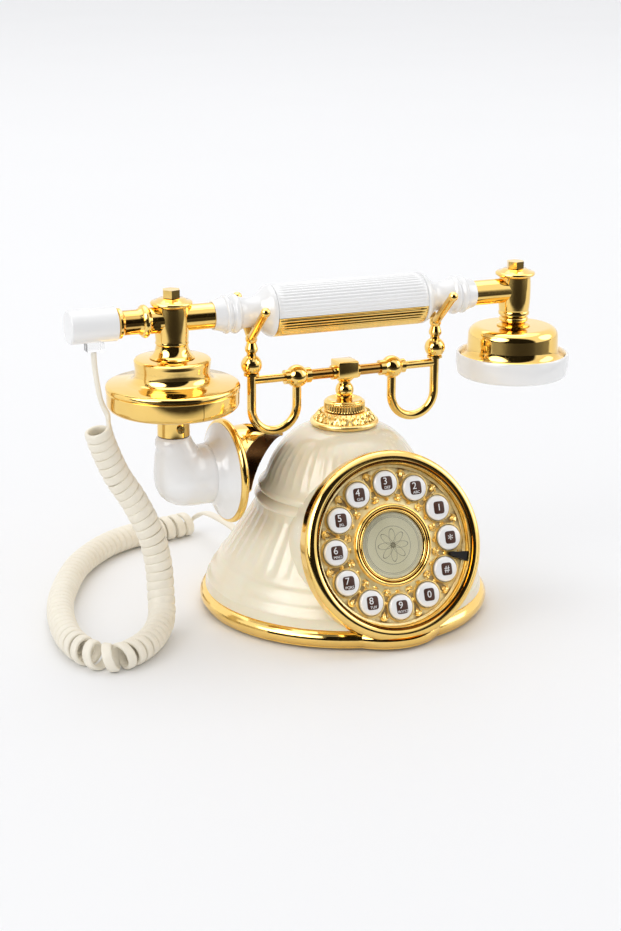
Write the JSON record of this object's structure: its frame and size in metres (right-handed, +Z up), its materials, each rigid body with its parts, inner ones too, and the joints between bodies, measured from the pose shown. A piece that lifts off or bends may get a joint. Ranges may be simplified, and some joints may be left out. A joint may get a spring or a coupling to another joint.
{
  "type": "french_style_cradle_telephone",
  "caption": "Cradle telephone in the French style: fluted bell base, push buttons in a round dial, gold cradle and horn handset",
  "frame": {"origin": "on the table, under the axis of the bell, at the middle of the centre pad", "axes": "+Z up; the dial faces -Y; the handset lies along X with its transmitter at -X and its receiver at +X"},
  "size_m": [0.2842, 0.2111, 0.1722],
  "materials": {
    "cream_plastic": "pearly cream moulding, satin gloss",
    "white_plastic": "glossy white moulding",
    "gold_plate": "bright gold plating with darker hollows",
    "plain_steel": "plain zinc-plated steel",
    "black_plastic": "black moulding",
    "foot_rubber": "dark rubber",
    "board_green": "printed circuit board",
    "pad_grey": "grey silicone keypad mat",
    "card_paper": "pale printed card",
    "clear_lens": "clear moulded lens",
    "button_white": "white push button with a brown label",
    "cord_cream": "cream flexible cord jacket"
  },
  "bodies": {
    "base": {"rubber_feet": "foot_rubber", "base_pan": "black_plastic", "base_screws": "plain_steel", "base_rim": "gold_plate", "bell_shell": "cream_plastic", "collar_flange": "gold_plate", "ring_nut": "gold_plate", "ballast": "plain_steel", "main_board": "board_green", "ringer": "black_plastic", "hook_switch": "plain_steel", "jacks": "black_plastic", "dial_bezel": "gold_plate", "dial_plate": "gold_plate", "centre_ring": "gold_plate", "dial_card": "card_paper", "dial_lens": "clear_lens", "finger_stop": "black_plastic", "keypad_pad": "pad_grey", "keypad_board": "board_green", "bottom_plug": "clear_lens", "bottom_lead": "cord_cream", "cord_coil": "cord_cream"},
    "cradle": {"cradle_stem": "gold_plate", "cradle_block": "gold_plate", "cradle_bars": "gold_plate", "u_loops": "gold_plate", "forks": "gold_plate", "cradle_spring": "plain_steel"},
    "handset": {"grip": "white_plastic", "grip_strip": "gold_plate", "grip_ends": "white_plastic", "handset_tube": "gold_plate", "transmitter_post": "gold_plate", "receiver_post": "gold_plate", "handset_fasteners": "gold_plate", "cord_sleeve": "gold_plate", "plug_housing": "white_plastic", "transmitter_cup": "gold_plate", "transmitter_ring": "gold_plate", "mic_capsule": "black_plastic", "horn_elbow": "white_plastic", "horn_scoop": "gold_plate", "receiver_cup": "gold_plate", "ear_ring": "white_plastic", "speaker_capsule": "black_plastic", "top_plug": "clear_lens", "top_lead": "cord_cream"},
    "button_star": {"button_star": "button_white"},
    "button_1": {"button_1": "button_white"},
    "button_2": {"button_2": "button_white"},
    "button_3": {"button_3": "button_white"},
    "button_4": {"button_4": "button_white"},
    "button_5": {"button_5": "button_white"},
    "button_6": {"button_6": "button_white"},
    "button_7": {"button_7": "button_white"},
    "button_8": {"button_8": "button_white"},
    "button_9": {"button_9": "button_white"},
    "button_0": {"button_0": "button_white"},
    "button_hash": {"button_hash": "button_white"}
  },
  "joints": [
    {"name": "handset_lift", "type": "slide", "parent": "base", "child": "handset", "axis": [-0.2334, 0, 0.9724], "range_m": [0, 0.041]},
    {"name": "cradle_travel", "type": "slide", "parent": "base", "child": "cradle", "axis": [0, 0, 1], "range_m": [0, 0.004], "deforming": ["cradle_spring"]},
    {"name": "press_star", "type": "slide", "parent": "base", "child": "button_star", "axis": [0, 0.9426, -0.3338], "range_m": [0, 0.0018], "stiffness_N_per_m": 250, "springref_m": -0.0003},
    {"name": "press_1", "type": "slide", "parent": "base", "child": "button_1", "axis": [0, 0.9426, -0.3338], "range_m": [0, 0.0018], "stiffness_N_per_m": 250, "springref_m": -0.0003},
    {"name": "press_2", "type": "slide", "parent": "base", "child": "button_2", "axis": [0, 0.9426, -0.3338], "range_m": [0, 0.0018], "stiffness_N_per_m": 250, "springref_m": -0.0003},
    {"name": "press_3", "type": "slide", "parent": "base", "child": "button_3", "axis": [0, 0.9426, -0.3338], "range_m": [0, 0.0018], "stiffness_N_per_m": 250, "springref_m": -0.0003},
    {"name": "press_4", "type": "slide", "parent": "base", "child": "button_4", "axis": [0, 0.9426, -0.3338], "range_m": [0, 0.0018], "stiffness_N_per_m": 250, "springref_m": -0.0003},
    {"name": "press_5", "type": "slide", "parent": "base", "child": "button_5", "axis": [0, 0.9426, -0.3338], "range_m": [0, 0.0018], "stiffness_N_per_m": 250, "springref_m": -0.0003},
    {"name": "press_6", "type": "slide", "parent": "base", "child": "button_6", "axis": [0, 0.9426, -0.3338], "range_m": [0, 0.0018], "stiffness_N_per_m": 250, "springref_m": -0.0003},
    {"name": "press_7", "type": "slide", "parent": "base", "child": "button_7", "axis": [0, 0.9426, -0.3338], "range_m": [0, 0.0018], "stiffness_N_per_m": 250, "springref_m": -0.0003},
    {"name": "press_8", "type": "slide", "parent": "base", "child": "button_8", "axis": [0, 0.9426, -0.3338], "range_m": [0, 0.0018], "stiffness_N_per_m": 250, "springref_m": -0.0003},
    {"name": "press_9", "type": "slide", "parent": "base", "child": "button_9", "axis": [0, 0.9426, -0.3338], "range_m": [0, 0.0018], "stiffness_N_per_m": 250, "springref_m": -0.0003},
    {"name": "press_0", "type": "slide", "parent": "base", "child": "button_0", "axis": [0, 0.9426, -0.3338], "range_m": [0, 0.0018], "stiffness_N_per_m": 250, "springref_m": -0.0003},
    {"name": "press_hash", "type": "slide", "parent": "base", "child": "button_hash", "axis": [0, 0.9426, -0.3338], "range_m": [0, 0.0018], "stiffness_N_per_m": 250, "springref_m": -0.0003}
  ],
  "couplings": [
    {"joint": "cradle_travel", "follows": "handset_lift", "ratio": 0.0975}
  ]
}
